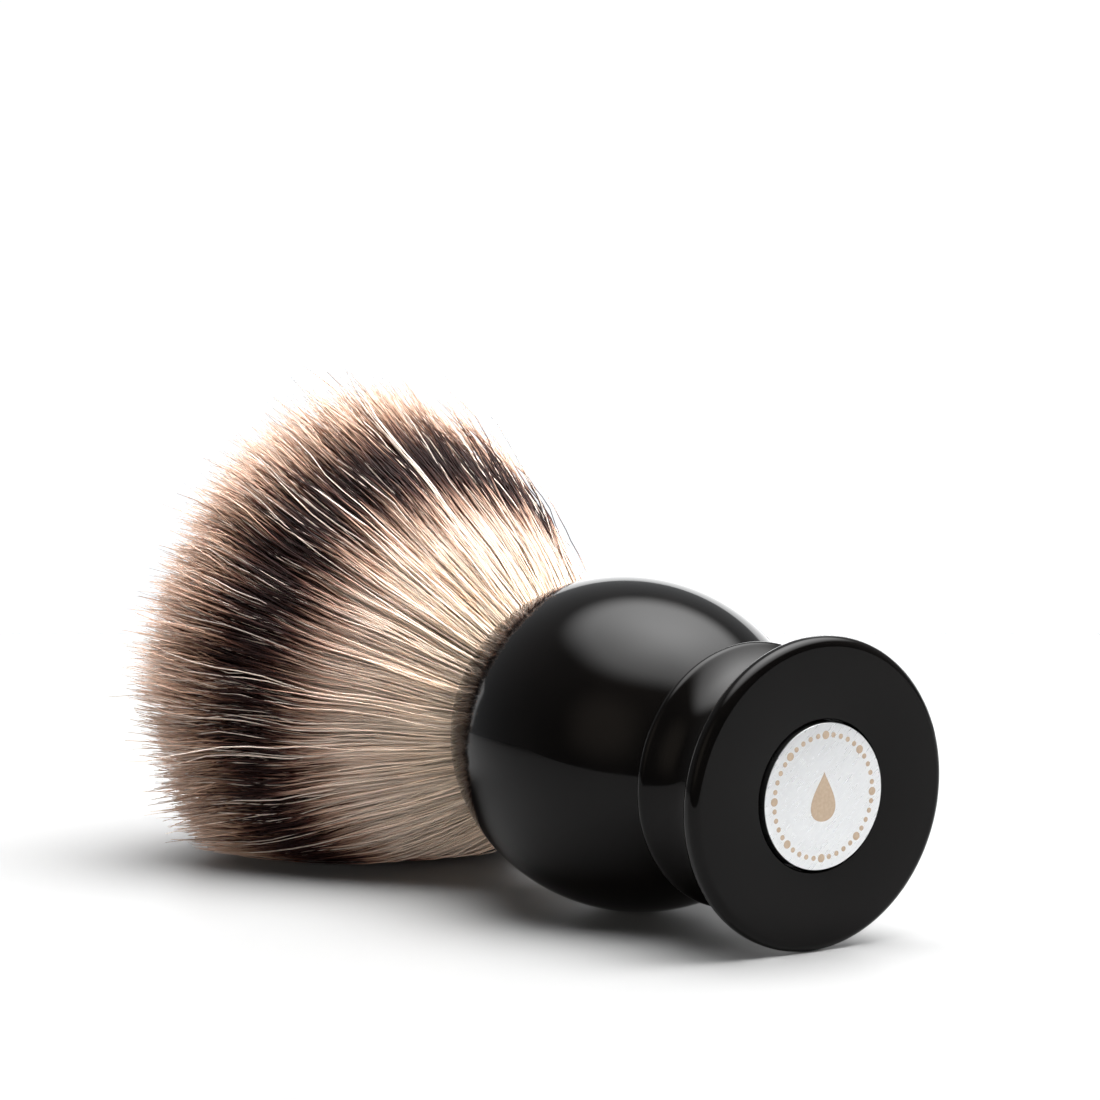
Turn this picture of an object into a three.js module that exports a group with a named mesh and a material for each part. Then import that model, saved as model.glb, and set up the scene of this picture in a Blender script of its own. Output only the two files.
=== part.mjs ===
import * as THREE from 'three';

// Shaving brush with a screw-in head, in millimetres. +Z points towards the fibre tips and z = 0 is the outer
// face of the base medallion. Outlines are drawn as (radius, height) pairs and turned about the Z axis.

const CLEARANCE = 0.3; // between neighbouring pieces
const OUTER_SEGMENTS = 48; // facets round the handle and the knot
const INNER_SEGMENTS = 32; // facets round the smaller turned pieces

// Base medallion, held by an adhesive disc in a shallow recess
const MEDALLION_RADIUS = 8.25;
const MEDALLION_THICKNESS = 1.4;
const MEDALLION_PROUD = 0.5; // how far it stands out of the foot face
const ADHESIVE_THICKNESS = 0.3;

// Foot flange
const FLANGE_RADIUS = 17.65;
const FLANGE_FRONT_ROUNDING = 1.1;
const FLANGE_BACK_ROUNDING = 1.1;
const FLANGE_BARREL = 0.3; // straight side between the two roundings

// Cove above the flange, ring bead and the groove behind it
const COVE_RADIUS = 12.6;
const COVE_HEIGHT = 8.2;
const RING_RADIUS = 15.2;
const RING_HEIGHT = 13.6;
const RING_BEAD = 0.8;
const RING_BEAD_START = -48; // degrees; the cove runs into the bead at this angle
const GROOVE_HEIGHT = 16.8;
const FLANGE_SWEEP = 2.2; // how far the curves hold their direction: in from the flange,
const COVE_SWEEP = 2.3; // each way along the floor of the cove,
const RING_SWEEP = 1.6; // up to the ring,
const GROOVE_SWEEP = 1.5; // and on both sides of the groove

// Bulb: two half ellipses that meet at its widest circle
const BULB_RADIUS = 19.3;
const BULB_HEIGHT = 35.3;
const BULB_LOWER_SEMI_AXIS = 23.5;
const BULB_UPPER_SEMI_AXIS = 23.8;
const SHOULDER_HEIGHT = 52.4; // where the bulb runs into the lip of the socket

// Socket in the bulb, stepped for the head, the insert and the tip of the stem
const SOCKET_RADIUS = 12;
const SOCKET_FLOOR = 39;
const INSERT_POCKET_RADIUS = 10.4;
const INSERT_POCKET_FLOOR = 26;
const RELIEF_RADIUS = 8;
const RELIEF_FLOOR = 23;

// Right-hand thread between the stem and the insert
const THREAD_PITCH = 3;
const STEM_ROOT_RADIUS = 6.6;
const STEM_CREST_RADIUS = 8.2;
const NUT_CREST_RADIUS = 7.6;
const NUT_ROOT_RADIUS = 8.9;
const THREAD_ROWS_PER_TURN = 6;
const INSERT_LENGTH = 12.1;
const INSERT_GROOVE_DEPTH = 0.5;
const COUNTERSINK = 1; // at the mouth of the insert, out to the root of its thread

// Screw-in head: collar, seal, potting and binding
const SEAL_THICKNESS = 1;
const SEAL_INNER_RADIUS = 9;
const COLLAR_FLOOR = 1.8;
const COLLAR_WALL = 1;
const STEM_TIP_HEIGHT = 28.3;
const CHAMFER = 0.5;
const POTTING_DEPTH = 3.7;
const THREAD_RADIUS = 0.35;
const BINDING_TURNS = 3;
const BINDING_PITCH = 1.05;
const BINDING_HEIGHT = 47.5; // where its lower end starts

// Fibre knot
const KNOT_WAIST_RADIUS = 9.35;
const KNOT_MOUTH_RADIUS = 10.4;
const RIM_RADIUS = 31;
const RIM_HEIGHT = 91;
const TOTAL_HEIGHT = 110;
const MOUTH_LEAN = 34; // degrees outwards at the mouth
const MOUTH_SWEEP = 8.1;
const RIM_LEAN = 3.7; // degrees outwards at the rim
const RIM_SWEEP = 11.8;
const DOME_SWEEP = 6.3; // how far the dome rises steeply from the rim
const DOME_FULLNESS = 0.58; // flat middle of the dome, as a share of the rim radius

// Heights and radii that follow from the ones above
const FOOT_FACE = MEDALLION_PROUD;
const MEDALLION_BACK = MEDALLION_THICKNESS;
const RECESS_RADIUS = MEDALLION_RADIUS + CLEARANCE;
const RECESS_CEILING = MEDALLION_BACK + ADHESIVE_THICKNESS + 2 * CLEARANCE;
const INSERT_FOOT = INSERT_POCKET_FLOOR + CLEARANCE;
const INSERT_TOP = INSERT_FOOT + INSERT_LENGTH;
const INSERT_RADIUS = INSERT_POCKET_RADIUS - CLEARANCE;
const SEAL_FOOT = SOCKET_FLOOR + CLEARANCE;
const COLLAR_FOOT = SEAL_FOOT + SEAL_THICKNESS + CLEARANCE;
const COLLAR_RADIUS = SOCKET_RADIUS - CLEARANCE;
const CUP_RADIUS = COLLAR_RADIUS - COLLAR_WALL;
const CUP_FLOOR = COLLAR_FOOT + COLLAR_FLOOR;
const POTTING_FOOT = CUP_FLOOR + CLEARANCE;
const KNOT_FOOT = POTTING_FOOT + POTTING_DEPTH + CLEARANCE;

const point = (radius, height) => new THREE.Vector2(radius, height);

/** Points along an elliptical arc of an outline, with its angles in degrees from the outward direction. */
function arc(radius, height, radialSize, axialSize, fromDegrees, toDegrees, steps) {
  const from = THREE.MathUtils.degToRad(fromDegrees);
  const to = THREE.MathUtils.degToRad(toDegrees);
  return new THREE.EllipseCurve(radius, height, radialSize, axialSize, from, to, to < from).getPoints(steps);
}

/** Points along a cubic curve of an outline. */
function sweep(start, startHandle, endHandle, end, steps) {
  return new THREE.CubicBezierCurve(start, startHandle, endHandle, end).getPoints(steps);
}

/** Step of the given length that leans outwards from the axis by an angle in degrees. */
function leaning(degrees, length) {
  const angle = THREE.MathUtils.degToRad(degrees);
  return point(length * Math.sin(angle), length * Math.cos(angle));
}

/** The outline without points that repeat the one before. */
function withoutRepeats(outline) {
  return outline.filter((p, i) => i === 0 || p.distanceTo(outline[i - 1]) > 1e-6);
}

/** A solid turned from an outline that starts and ends on the axis, or closes on itself. */
function turned(outline, segments = INNER_SEGMENTS) {
  const geometry = new THREE.LatheGeometry(withoutRepeats(outline), segments);
  geometry.rotateX(Math.PI / 2);
  return geometry;
}

/** Straight wall of an outline in even steps, fine enough to carry a thread. */
function threadWall(radius, fromHeight, toHeight) {
  const steps = Math.round((Math.abs(toHeight - fromHeight) / THREAD_PITCH) * THREAD_ROWS_PER_TURN);
  return Array.from({ length: steps + 1 }, (_, i) =>
    point(radius, THREE.MathUtils.lerp(fromHeight, toHeight, i / steps)));
}

/** Cuts a smooth right-hand thread into a turned wall, fading out over half a turn at foot and top. */
function cutThread(geometry, wallRadius, depth, foot, top) {
  const position = geometry.attributes.position;
  const fade = THREAD_PITCH / 2;
  for (let i = 0; i < position.count; i += 1) {
    const x = position.getX(i);
    const y = position.getY(i);
    const z = position.getZ(i);
    const onWall = Math.abs(Math.hypot(x, y) - wallRadius) < 1e-3;
    if (onWall && z > foot && z < top) {
      const turns = z / THREAD_PITCH - Math.atan2(y, x) / (2 * Math.PI);
      const wave = 0.5 + 0.5 * Math.cos(2 * Math.PI * turns);
      const ends = THREE.MathUtils.smoothstep(Math.min(z - foot, top - z), 0, fade);
      const scale = (wallRadius + depth * wave * ends) / wallRadius;
      position.setXY(i, x * scale, y * scale);
    }
  }
  return geometry;
}

/** Helix about the Z axis, for the binding thread. */
class Helix extends THREE.Curve {
  constructor(radius, foot, pitch, turns) {
    super();
    Object.assign(this, { radius, foot, pitch, turns });
  }

  getPoint(t, target = new THREE.Vector3()) {
    const angle = 2 * Math.PI * this.turns * t;
    return target.set(
      this.radius * Math.cos(angle),
      this.radius * Math.sin(angle),
      this.foot + this.pitch * this.turns * t,
    );
  }
}

/** Outer side of the handle, from the foot face up to the lip of the socket. */
function handleOutside() {
  const barrelFoot = FOOT_FACE + FLANGE_FRONT_ROUNDING;
  const barrelTop = barrelFoot + FLANGE_BARREL;
  const coveStart = point(FLANGE_RADIUS - FLANGE_BACK_ROUNDING, barrelTop + FLANGE_BACK_ROUNDING);
  const coveFloor = point(COVE_RADIUS, COVE_HEIGHT);
  const bead = arc(RING_RADIUS - RING_BEAD, RING_HEIGHT, RING_BEAD, RING_BEAD, RING_BEAD_START, 90, 5);
  const beadStart = bead[0];
  const beadEnd = bead[bead.length - 1];
  const bulbFoot = -THREE.MathUtils.radToDeg(Math.asin((BULB_HEIGHT - GROOVE_HEIGHT) / BULB_LOWER_SEMI_AXIS));
  const shoulder = THREE.MathUtils.radToDeg(Math.asin((SHOULDER_HEIGHT - BULB_HEIGHT) / BULB_UPPER_SEMI_AXIS));
  const lowerBulb = arc(0, BULB_HEIGHT, BULB_RADIUS, BULB_LOWER_SEMI_AXIS, bulbFoot, 0, 8);
  const upperBulb = arc(0, BULB_HEIGHT, BULB_RADIUS, BULB_UPPER_SEMI_AXIS, 0, shoulder, 7);
  const bulbStart = lowerBulb[0];
  const bulbSlope = lowerBulb[1].clone().sub(bulbStart).normalize();
  return [
    ...arc(FLANGE_RADIUS - FLANGE_FRONT_ROUNDING, barrelFoot, FLANGE_FRONT_ROUNDING, FLANGE_FRONT_ROUNDING, -90, 0, 3),
    ...arc(coveStart.x, barrelTop, FLANGE_BACK_ROUNDING, FLANGE_BACK_ROUNDING, 0, 90, 3),
    ...sweep(coveStart, point(coveStart.x - FLANGE_SWEEP, coveStart.y),
      point(COVE_RADIUS, COVE_HEIGHT - COVE_SWEEP), coveFloor, 4),
    ...sweep(coveFloor, point(COVE_RADIUS, COVE_HEIGHT + COVE_SWEEP),
      beadStart.clone().sub(leaning(-RING_BEAD_START, RING_SWEEP)), beadStart, 4),
    ...bead,
    ...sweep(beadEnd, point(beadEnd.x - GROOVE_SWEEP, beadEnd.y),
      bulbStart.clone().addScaledVector(bulbSlope, -GROOVE_SWEEP), bulbStart, 4),
    ...lowerBulb,
    ...upperBulb,
    ...socketLip(upperBulb[upperBulb.length - 1]),
  ];
}

/** Rounded lip that leaves the shoulder square to its surface and turns down into the socket. */
function socketLip(shoulderEnd) {
  const slopeAcross = shoulderEnd.x / BULB_RADIUS ** 2;
  const slopeAlong = (shoulderEnd.y - BULB_HEIGHT) / BULB_UPPER_SEMI_AXIS ** 2;
  const normal = point(slopeAcross, slopeAlong).normalize();
  const rounding = (shoulderEnd.x - SOCKET_RADIUS) / (1 + normal.x);
  const centre = shoulderEnd.clone().addScaledVector(normal, -rounding);
  const startDegrees = THREE.MathUtils.radToDeg(normal.angle());
  return arc(centre.x, centre.y, rounding, rounding, startDegrees, 180, 4);
}

function handleBody() {
  return turned([
    point(0, RECESS_CEILING),
    point(RECESS_RADIUS, RECESS_CEILING),
    point(RECESS_RADIUS, FOOT_FACE),
    ...handleOutside(),
    point(SOCKET_RADIUS, SOCKET_FLOOR),
    point(INSERT_POCKET_RADIUS, SOCKET_FLOOR),
    point(INSERT_POCKET_RADIUS, INSERT_POCKET_FLOOR),
    point(RELIEF_RADIUS, INSERT_POCKET_FLOOR),
    point(RELIEF_RADIUS, RELIEF_FLOOR),
    point(0, RELIEF_FLOOR),
  ], OUTER_SEGMENTS);
}

/** A plain disc with both edges broken. */
function disc(radius, foot, thickness, edge) {
  return turned([
    point(0, foot),
    point(radius - edge, foot),
    point(radius, foot + edge),
    point(radius, foot + thickness - edge),
    point(radius - edge, foot + thickness),
    point(0, foot + thickness),
  ]);
}

/** Insert with retention grooves outside and the female thread inside. */
function threadedInsert() {
  const grooveRadius = INSERT_RADIUS - INSERT_GROOVE_DEPTH;
  const band = INSERT_LENGTH / 5;
  const grooves = [1, 3].flatMap((bands) => [
    point(INSERT_RADIUS, INSERT_FOOT + bands * band),
    point(grooveRadius, INSERT_FOOT + bands * band + INSERT_GROOVE_DEPTH),
    point(grooveRadius, INSERT_FOOT + (bands + 1) * band - INSERT_GROOVE_DEPTH),
    point(INSERT_RADIUS, INSERT_FOOT + (bands + 1) * band),
  ]);
  const wall = threadWall(NUT_CREST_RADIUS, INSERT_TOP - COUNTERSINK, INSERT_FOOT + CHAMFER);
  const outline = [
    point(NUT_CREST_RADIUS + CHAMFER, INSERT_FOOT),
    point(INSERT_RADIUS, INSERT_FOOT),
    ...grooves,
    point(INSERT_RADIUS, INSERT_TOP),
    point(NUT_ROOT_RADIUS, INSERT_TOP),
    ...wall,
    point(NUT_CREST_RADIUS + CHAMFER, INSERT_FOOT),
  ];
  const depth = NUT_ROOT_RADIUS - NUT_CREST_RADIUS;
  return cutThread(turned(outline), NUT_CREST_RADIUS, depth, INSERT_FOOT, INSERT_TOP + THREAD_PITCH);
}

function sealRing() {
  const outer = COLLAR_RADIUS - CLEARANCE;
  const middle = (SEAL_INNER_RADIUS + outer) / 2;
  const halfWidth = (outer - SEAL_INNER_RADIUS) / 2;
  const section = arc(middle, SEAL_FOOT + SEAL_THICKNESS / 2, halfWidth, SEAL_THICKNESS / 2, 0, 360, 8);
  section[section.length - 1].copy(section[0]);
  return turned(section);
}

/** Cup for the knot, with the threaded stem below its floor. */
function headCollar() {
  const rim = SHOULDER_HEIGHT;
  const wall = threadWall(STEM_ROOT_RADIUS, STEM_TIP_HEIGHT + CHAMFER, INSERT_TOP);
  const outline = [
    point(0, STEM_TIP_HEIGHT),
    point(STEM_ROOT_RADIUS - CHAMFER, STEM_TIP_HEIGHT),
    ...wall,
    point(STEM_ROOT_RADIUS, COLLAR_FOOT),
    point(COLLAR_RADIUS - CHAMFER, COLLAR_FOOT),
    point(COLLAR_RADIUS, COLLAR_FOOT + CHAMFER),
    ...arc(COLLAR_RADIUS - COLLAR_WALL / 2, rim - COLLAR_WALL / 2, COLLAR_WALL / 2, COLLAR_WALL / 2, 0, 180, 4),
    point(CUP_RADIUS, CUP_FLOOR),
    point(0, CUP_FLOOR),
  ];
  const depth = STEM_CREST_RADIUS - STEM_ROOT_RADIUS;
  return cutThread(turned(outline), STEM_ROOT_RADIUS, depth, STEM_TIP_HEIGHT, INSERT_TOP + CLEARANCE);
}

/** Thread wound round the waist of the knot, with both ends cut square. */
function bindingThread() {
  const radius = KNOT_WAIST_RADIUS + CLEARANCE + THREAD_RADIUS;
  const section = new THREE.Shape();
  section.absarc(0, 0, THREAD_RADIUS, 0, 2 * Math.PI);
  return new THREE.ExtrudeGeometry(section, {
    steps: 20 * BINDING_TURNS,
    curveSegments: 4,
    extrudePath: new Helix(radius, BINDING_HEIGHT, BINDING_PITCH, BINDING_TURNS),
  });
}

/** Soft envelope of the fibres: bound waist, flaring side and domed top. */
function fibreKnot() {
  const waistTop = BINDING_HEIGHT + BINDING_PITCH * BINDING_TURNS + THREAD_RADIUS;
  const mouth = point(KNOT_MOUTH_RADIUS, SHOULDER_HEIGHT);
  const rim = point(RIM_RADIUS, RIM_HEIGHT);
  const tip = point(0, TOTAL_HEIGHT);
  const middle = point(RIM_RADIUS * DOME_FULLNESS, TOTAL_HEIGHT);
  return turned([
    point(0, KNOT_FOOT),
    point(KNOT_WAIST_RADIUS, KNOT_FOOT),
    point(KNOT_WAIST_RADIUS, waistTop),
    ...sweep(mouth, mouth.clone().add(leaning(MOUTH_LEAN, MOUTH_SWEEP)),
      rim.clone().sub(leaning(RIM_LEAN, RIM_SWEEP)), rim, 8),
    ...sweep(rim, rim.clone().add(leaning(RIM_LEAN, DOME_SWEEP)), middle, tip, 8),
  ], OUTER_SEGMENTS);
}

function plastic(color, roughness) {
  return new THREE.MeshStandardMaterial({ color, roughness, metalness: 0 });
}

function metal(color, roughness) {
  return new THREE.MeshStandardMaterial({ color, roughness, metalness: 1 });
}

function part(name, geometry, material) {
  const mesh = new THREE.Mesh(geometry, material);
  mesh.name = name;
  return mesh;
}

const brush = new THREE.Group();
brush.add(part('handle_body', handleBody(), plastic(0x0b0a0a, 0.08)));
brush.add(part('base_medallion', disc(MEDALLION_RADIUS, 0, MEDALLION_THICKNESS, 0.08), metal(0xd6d8da, 0.3)));
brush.add(part('medallion_adhesive',
  disc(MEDALLION_RADIUS - CLEARANCE, MEDALLION_BACK + CLEARANCE, ADHESIVE_THICKNESS, 0.08), plastic(0xd9d2b8, 0.6)));
brush.add(part('threaded_insert', threadedInsert(), metal(0xb8923e, 0.3)));
brush.add(part('seal_ring', sealRing(), plastic(0x141414, 0.7)));
brush.add(part('head_collar', headCollar(), plastic(0x1a1a1b, 0.45)));
brush.add(part('potting_resin',
  disc(CUP_RADIUS - CLEARANCE, POTTING_FOOT, POTTING_DEPTH, CHAMFER), plastic(0x8a7a5c, 0.35)));
brush.add(part('binding_thread', bindingThread(), plastic(0xe7e0cf, 0.8)));
brush.add(part('fibre_knot', fibreKnot(), plastic(0xb9a58e, 0.75)));

export default brush;
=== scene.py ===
import math

import bpy
import numpy as np
from mathutils import Matrix, Vector


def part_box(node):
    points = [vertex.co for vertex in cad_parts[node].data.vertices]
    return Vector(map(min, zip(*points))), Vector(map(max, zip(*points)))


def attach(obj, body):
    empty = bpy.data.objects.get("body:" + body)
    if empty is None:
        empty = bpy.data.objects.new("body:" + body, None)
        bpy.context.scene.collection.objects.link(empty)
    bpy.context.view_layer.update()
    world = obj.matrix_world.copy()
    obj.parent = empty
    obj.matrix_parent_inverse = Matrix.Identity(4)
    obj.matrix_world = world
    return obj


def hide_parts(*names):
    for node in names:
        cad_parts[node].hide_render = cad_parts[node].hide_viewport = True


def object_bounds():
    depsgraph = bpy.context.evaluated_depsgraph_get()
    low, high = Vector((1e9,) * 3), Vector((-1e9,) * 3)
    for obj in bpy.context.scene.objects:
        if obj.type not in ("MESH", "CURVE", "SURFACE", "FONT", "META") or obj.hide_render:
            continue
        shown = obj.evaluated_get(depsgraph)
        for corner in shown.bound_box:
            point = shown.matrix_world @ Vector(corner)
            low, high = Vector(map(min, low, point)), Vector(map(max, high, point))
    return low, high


# Shaving brush: fine surfaces, materials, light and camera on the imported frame.
# Metres, with +Z along the axis of the brush towards the tips.

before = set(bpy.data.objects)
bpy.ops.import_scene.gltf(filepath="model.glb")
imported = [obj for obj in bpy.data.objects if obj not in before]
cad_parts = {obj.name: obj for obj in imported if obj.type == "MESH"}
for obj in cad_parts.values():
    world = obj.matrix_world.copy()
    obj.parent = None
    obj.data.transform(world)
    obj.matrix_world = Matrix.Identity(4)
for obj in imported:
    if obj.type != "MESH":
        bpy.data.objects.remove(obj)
CAD_LOW, CAD_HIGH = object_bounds()
MM = 0.001
RNG = np.random.default_rng(42)

# --- Sizes, from the frame where it states them ---------------------------------------------------------

HANDLE_LOW, HANDLE_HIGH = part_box("handle_body")
MEDALLION_LOW, MEDALLION_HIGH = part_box("base_medallion")
KNOT_LOW, KNOT_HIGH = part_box("fibre_knot")
COLLAR_LOW, COLLAR_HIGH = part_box("head_collar")
INSERT_LOW, INSERT_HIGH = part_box("threaded_insert")
SEAL_LOW, SEAL_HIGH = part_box("seal_ring")

FOOT_FACE = HANDLE_LOW[2]
BULB_RADIUS = HANDLE_HIGH[0]
MEDALLION_RADIUS = MEDALLION_HIGH[0]
RIM_RADIUS = KNOT_HIGH[0]
TIP_HEIGHT = KNOT_HIGH[2]
COLLAR_RADIUS = COLLAR_HIGH[0]
INSERT_RADIUS = INSERT_HIGH[0]
INSERT_FOOT, INSERT_TOP = INSERT_LOW[2], INSERT_HIGH[2]
STEM_TIP_HEIGHT, MOUTH_HEIGHT = COLLAR_LOW[2], COLLAR_HIGH[2]

FLANGE_RADIUS = 17.65 * MM
FLANGE_FRONT_ROUNDING = 1.1 * MM
FLANGE_BACK_ROUNDING = 1.1 * MM
FLANGE_BARREL = 0.3 * MM
COVE_RADIUS = 12.6 * MM
COVE_HEIGHT = 8.2 * MM
RING_RADIUS = 15.2 * MM
RING_HEIGHT = 13.6 * MM
RING_BEAD = 0.8 * MM
RING_BEAD_START = math.radians(-48)
FLANGE_SWEEP = 2.2 * MM
COVE_SWEEP = 2.3 * MM
RING_SWEEP = 1.6 * MM
GROOVE_SWEEP = 1.5 * MM
GROOVE_HEIGHT = 16.8 * MM
BULB_HEIGHT = 35.3 * MM
BULB_LOWER_SEMI_AXIS = 23.5 * MM
BULB_UPPER_SEMI_AXIS = 23.8 * MM
SHOULDER_HEIGHT = 52.4 * MM
SOCKET_RADIUS = 12 * MM
SOCKET_FLOOR = 39 * MM
INSERT_POCKET_RADIUS = 10.4 * MM
INSERT_POCKET_FLOOR = 26 * MM
RELIEF_RADIUS = 8 * MM
RELIEF_FLOOR = 23 * MM
RECESS_RADIUS = 8.55 * MM
RECESS_CEILING = 2.3 * MM
RECESS_EDGE = 0.15 * MM
CHAMFER = 0.5 * MM

MEDALLION_EDGE = 0.12 * MM
PRINT_THICKNESS = 0.03 * MM
PRINT_DOTS = 40
PRINT_DOT_RADIUS = 0.3 * MM
PRINT_LARGE_DOT_EVERY = 5
PRINT_LARGE_DOT_RADIUS = 0.48 * MM
PRINT_RING_RADIUS = 6.9 * MM
DROP_RADIUS = 1.9 * MM
DROP_HEIGHT = 5.6 * MM

THREAD_PITCH = 3 * MM
STEM_ROOT_RADIUS = 6.6 * MM
STEM_CREST_RADIUS = 8.2 * MM
NUT_CREST_RADIUS = 7.6 * MM
NUT_ROOT_RADIUS = 8.9 * MM
INSERT_GROOVE_DEPTH = 0.5 * MM
COUNTERSINK = 1 * MM
COLLAR_FOOT = 40.6 * MM
COLLAR_WALL = 1 * MM
CUP_FLOOR = 42.4 * MM
SEAL_INNER_RADIUS = 9 * MM

TUFT_MOUTH_RADIUS = 10.9 * MM  # just above the lip of the handle
FLARE_RADIUS = RIM_RADIUS + 1.5 * MM  # reached by the thin tips at the edge of the tuft
FLARE_HEIGHT = 89.5 * MM
DOME_FULLNESS = 0.58  # flat middle of the dome, as a share of the flare radius
DOME_RISE = 6.3 * MM  # how far the dome rises steeply from its edge,
DOME_BULGE = 0.4 * MM  # and how far it stands out meanwhile
LEAN_AT_MOUTH = 1.14  # lean of a fibre, as a share of the lean of the straight line from mouth to tip
LEAN_AT_TIP = 0.74
BEND_SHARE = 0.3  # share of its length over which a fibre holds its direction at mouth and tip

STRANDS = 16500
STRANDS_PER_PIECE = 2200
POINTS = 15
ROOT_SHARE = 0.06  # length hidden in the handle, as a share of the free length
LEVELS = np.concatenate(([-ROOT_SHARE], np.linspace(0, 1, POINTS - 1)))  # share of the free length
COLUMNS = 512  # distinct fibre colourings
FIBRE_RADIUS = 0.095 * MM
TAPER = ((0, 0.6, 0.92, 1), (1.0, 0.95, 0.75, 0.3))  # levels along a fibre, and its thickness there

LENGTH_SPREAD = 0.016  # changes of length from fibre to fibre, as shares of the length
LONG_SHARE = 0.007
GUIDES = 1400  # fibres that pull those nearest to them into loose locks
LOCK_PULL = 0.14
BROAD_FLOW = (22 * MM, 0.9 * MM)  # wavelength and size of the wandering that neighbours share
FINE_FLOW = (9 * MM, 0.13 * MM)
FLOW_WAVES = 12
WANDER = 1.15 * MM  # of one fibre's tip, to any side
BOW = 0.6 * MM
STRAY_SHARE = 0.015
STRAY_FACTOR = 2.1  # strays wander and bow this much more
CRIMPS = ((1.8, 0.45 * MM), (4.2, 0.22 * MM))  # waves along a fibre, and their size

SWELL = 0.035  # rise of the tips of the lying tuft, as a share of their height above the floor
DRAW_IN = 0.12  # how far they draw in sideways, as a share of their distance from the middle
NEAR_SIDE_LEAN = 1.2 * MM
FLOOR_BEND = 2.6 * MM  # height above the floor within which a fibre starts to bend
FLOOR_LAYER = 0.2 * MM  # spread of the heights at which the pressed fibres lie
FLOOR_GAP = 0.12 * MM
FLOOR_SLIDE = 0.2  # how far a pressed fibre slides along the floor, as a share of its lift

# --- How the brush lies and is seen in the main view ----------------------------------------------------

LEAN = math.radians(2.86)  # the axis rises towards the tips, as the brush lies on its flange and bulb
HEADING = math.radians(35.95)  # the tips point this far to the left of the camera's forward direction
PITCH = math.radians(6.04)  # the camera looks down by this much
CAMERA_DISTANCE = 549.7 * MM  # from the camera to the foot, along the view
FOOT_RIGHT_OF_CENTRE = 29.77 * MM
FOOT_BELOW_CENTRE = 27.04 * MM
SENSOR = 36.0
FOCAL_LENGTH = 163.6
CONTACT_GAP = 0.02 * MM  # between the brush and the floor

AXIS = Vector((0, 0, 1))
UPPER_SIDE = Vector((1, -1, 0)).normalized()  # side of the brush that faces up when it lies down
FLOOR_NORMAL = UPPER_SIDE * math.cos(LEAN) + AXIS * math.sin(LEAN)
ALONG_FLOOR = AXIS * math.cos(LEAN) - UPPER_SIDE * math.sin(LEAN)
ACROSS_FLOOR = ALONG_FLOOR.cross(FLOOR_NORMAL)
FORWARD = ALONG_FLOOR * math.cos(HEADING) + ACROSS_FLOOR * math.sin(HEADING)
RIGHT = FORWARD.cross(FLOOR_NORMAL)


def seen_place(right, up, forward):
    """Direction or offset given as the main camera sees the lying brush, in the brush's frame."""
    return RIGHT * right + FLOOR_NORMAL * up + FORWARD * forward


def floor_offset():
    """Distance from the brush's axis origin down to the floor that flange and bulb both touch."""
    flange = (FLANGE_RADIUS - FLANGE_FRONT_ROUNDING) * math.cos(LEAN) + FLANGE_FRONT_ROUNDING
    flange -= (FOOT_FACE + FLANGE_FRONT_ROUNDING) * math.sin(LEAN)
    bulb = math.hypot(BULB_RADIUS * math.cos(LEAN), BULB_LOWER_SEMI_AXIS * math.sin(LEAN))
    bulb -= BULB_HEIGHT * math.sin(LEAN)
    return max(flange, bulb) + CONTACT_GAP


FLOOR_OFFSET = floor_offset()


# --- Outlines and meshes --------------------------------------------------------------------------------


def arc(radius, height, radial_size, axial_size, start, end, steps):
    """Points of an elliptical arc of an outline; angles in radians from the outward direction."""
    angles = np.linspace(start, end, steps + 1)
    return [(radius + radial_size * math.cos(a), height + axial_size * math.sin(a)) for a in angles]


def sweep(start, start_handle, end_handle, end, steps):
    """Points of a cubic curve of an outline."""
    t = np.linspace(0, 1, steps + 1)[:, None]
    a, b, c, d = (np.array(p) for p in (start, start_handle, end_handle, end))
    curve = a * (1 - t) ** 3 + 3 * b * t * (1 - t) ** 2 + 3 * c * t**2 * (1 - t) + d * t**3
    return [tuple(p) for p in curve]


def mesh_object(name, vertices, faces, sharp_degrees=40):
    mesh = bpy.data.meshes.new(name)
    mesh.from_pydata(vertices, [], faces)
    mesh.shade_smooth()
    mesh.set_sharp_from_angle(angle=math.radians(sharp_degrees))
    obj = bpy.data.objects.new(name, mesh)
    bpy.context.scene.collection.objects.link(obj)
    return obj


def turned(name, outline, segments=192, reshape=None):
    """A piece turned from an outline that starts and ends on the axis, or closes on itself."""
    points = [p for i, p in enumerate(outline) if i == 0 or math.dist(p, outline[i - 1]) > 1e-7]
    closed = math.dist(points[0], points[-1]) < 1e-7
    if closed:
        points = points[:-1]
    vertices, rings = [], []
    for radius, height in points:
        if radius < 1e-7:
            rings.append([len(vertices)] * segments)
            vertices.append((0, 0, height))
            continue
        rings.append(list(range(len(vertices), len(vertices) + segments)))
        for j in range(segments):
            angle = 2 * math.pi * j / segments
            r = reshape(radius, height, angle) if reshape else radius
            vertices.append((r * math.cos(angle), r * math.sin(angle), height))
    faces = []
    for low, high in zip(rings, rings[1:] + rings[:1] if closed else rings[1:]):
        for j in range(segments):
            k = (j + 1) % segments
            corners = list(dict.fromkeys((low[j], low[k], high[k], high[j])))
            if len(corners) > 2:
                faces.append(corners)
    return mesh_object(name, vertices, faces)


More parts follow.
